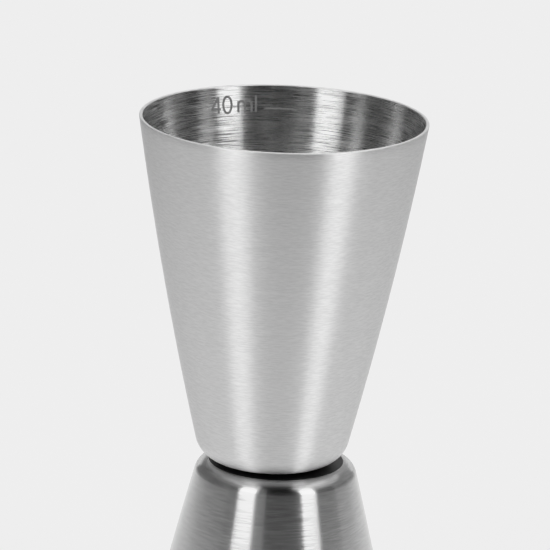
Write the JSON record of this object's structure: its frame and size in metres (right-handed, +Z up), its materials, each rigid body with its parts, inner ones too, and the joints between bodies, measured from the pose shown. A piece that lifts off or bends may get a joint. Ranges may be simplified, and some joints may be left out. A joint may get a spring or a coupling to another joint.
{
  "type": "bar jigger",
  "caption": "Double-ended measuring cup for drinks: a tall steel cup of 40 ml joined base to base to a short one of 20 ml.",
  "frame": {"origin": "on the large cup's axis, on the surface that the small cup's lip stands on", "axes": "+Z up along the large cup's axis, towards its mouth; the small cup is turned about a parallel axis 0.7 mm towards +X"},
  "size_m": [0.0434, 0.0434, 0.086],
  "materials": {
    "satin_steel": "deep-drawn stainless sheet, satin brushed round the axis outside, finely turned inside",
    "fused_steel": "dull grey fused stainless of a resistance weld"
  },
  "bodies": {
    "root": {"upper_cup": "satin_steel", "lower_cup": "satin_steel", "weld_nugget_1": "fused_steel", "weld_nugget_2": "fused_steel", "weld_nugget_3": "fused_steel"}
  },
  "joints": []
}
